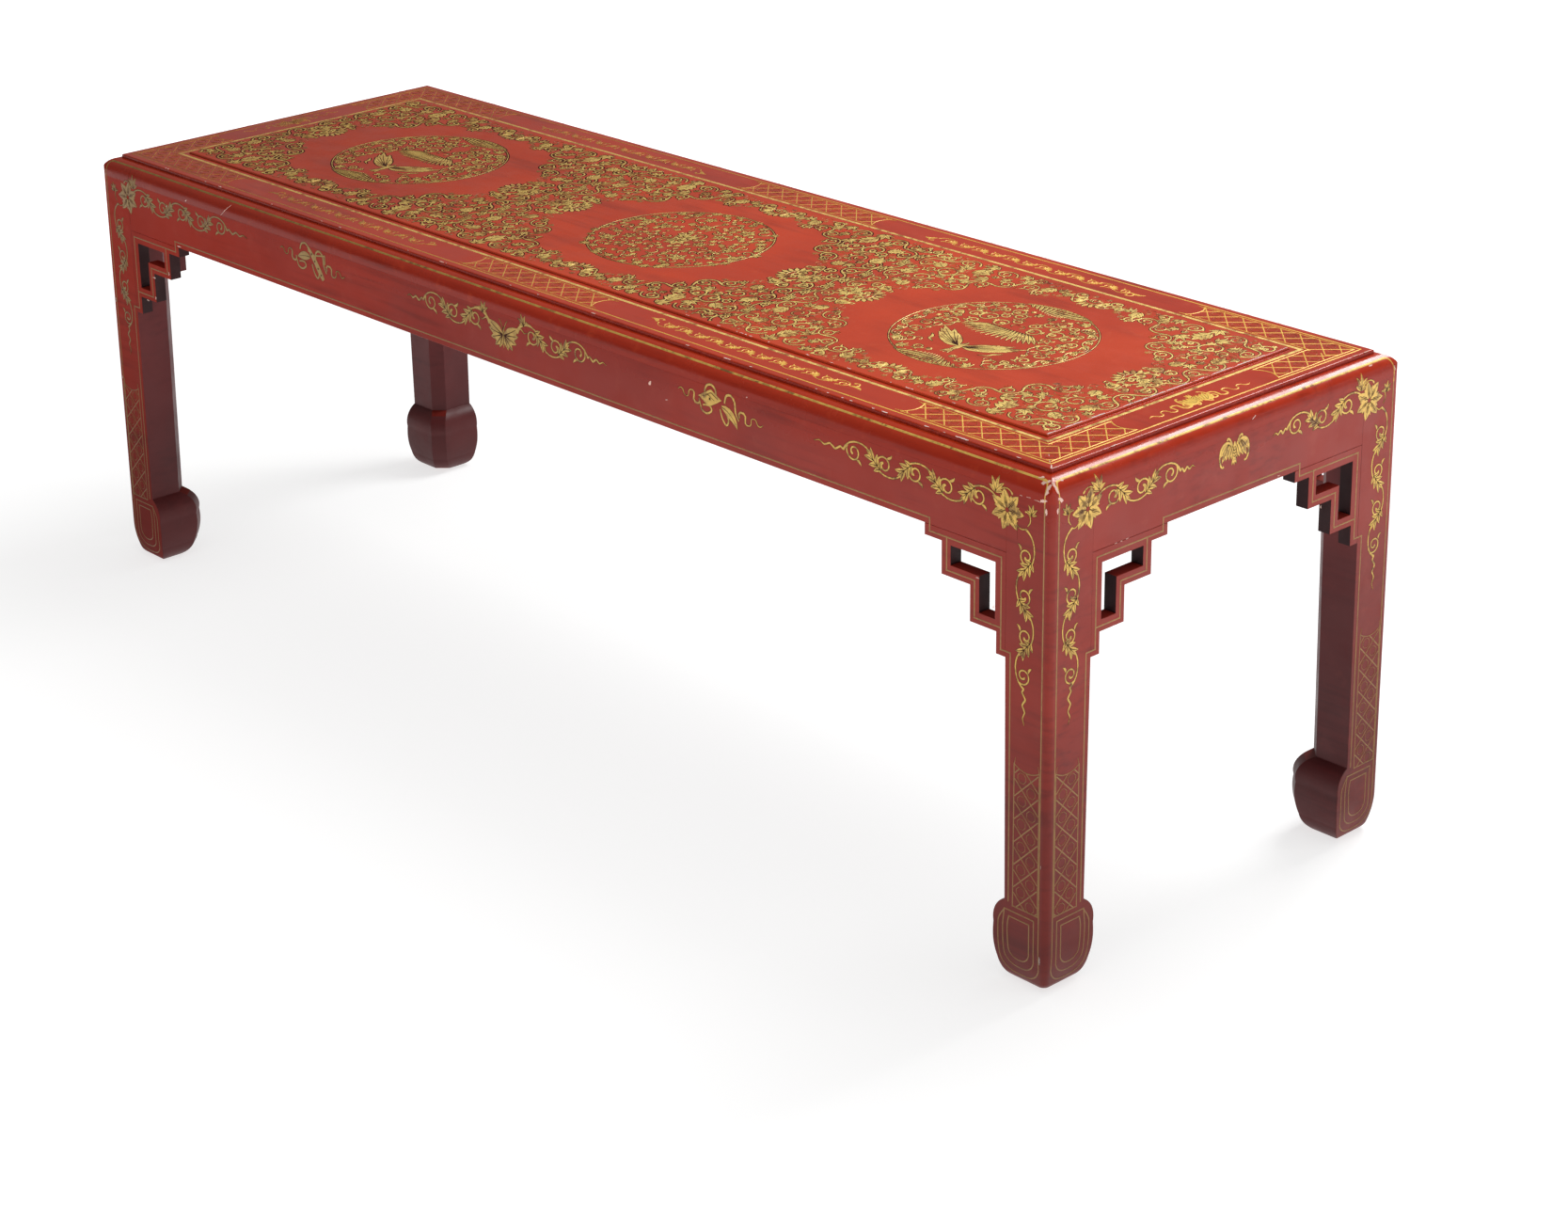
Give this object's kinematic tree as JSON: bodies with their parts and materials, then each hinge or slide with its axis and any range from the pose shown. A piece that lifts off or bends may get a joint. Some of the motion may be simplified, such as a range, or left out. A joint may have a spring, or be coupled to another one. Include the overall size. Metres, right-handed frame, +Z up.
{
  "type": "low table",
  "caption": "Long low table with a mitred top frame and raised panel, flush aprons, stepped openwork corner brackets and square legs on hoof feet, in gilded red lacquer.",
  "frame": {"origin": "on the floor, under the middle of the table", "axes": "+X along the table, +Y across it towards the back, +Z up"},
  "size_m": [1.385, 0.447, 0.4655],
  "materials": {
    "red_lacquer_top": "glossy orange-red lacquer over wood, worn at the edges",
    "red_lacquer": "glossy deep red lacquer over wood, worn at the edges",
    "underside_lacquer": "thin dark brown-red lacquer on the hidden side",
    "bare_wood": "bare hardwood",
    "gilding": "bright painted gilding, slightly raised",
    "aged_gilding": "dull greenish worn gilding, slightly raised"
  },
  "bodies": {
    "root": {"top_frame_front": "red_lacquer_top", "top_frame_back": "red_lacquer_top", "top_frame_left": "red_lacquer_top", "top_frame_right": "red_lacquer_top", "top_panel": "red_lacquer_top", "panel_batten_left": "underside_lacquer", "panel_batten_centre": "underside_lacquer", "panel_batten_right": "underside_lacquer", "apron_front": "red_lacquer", "apron_back": "red_lacquer", "apron_left": "red_lacquer", "apron_right": "red_lacquer", "leg_front_left": "red_lacquer", "spandrel_front_left": "red_lacquer", "spandrel_left_front": "red_lacquer", "leg_front_right": "red_lacquer", "spandrel_front_right": "red_lacquer", "spandrel_right_front": "red_lacquer", "leg_back_left": "red_lacquer", "spandrel_back_left": "red_lacquer", "spandrel_left_back": "red_lacquer", "leg_back_right": "red_lacquer", "spandrel_back_right": "red_lacquer", "spandrel_right_back": "red_lacquer", "spandrel_dowels": "bare_wood"}
  },
  "joints": []
}
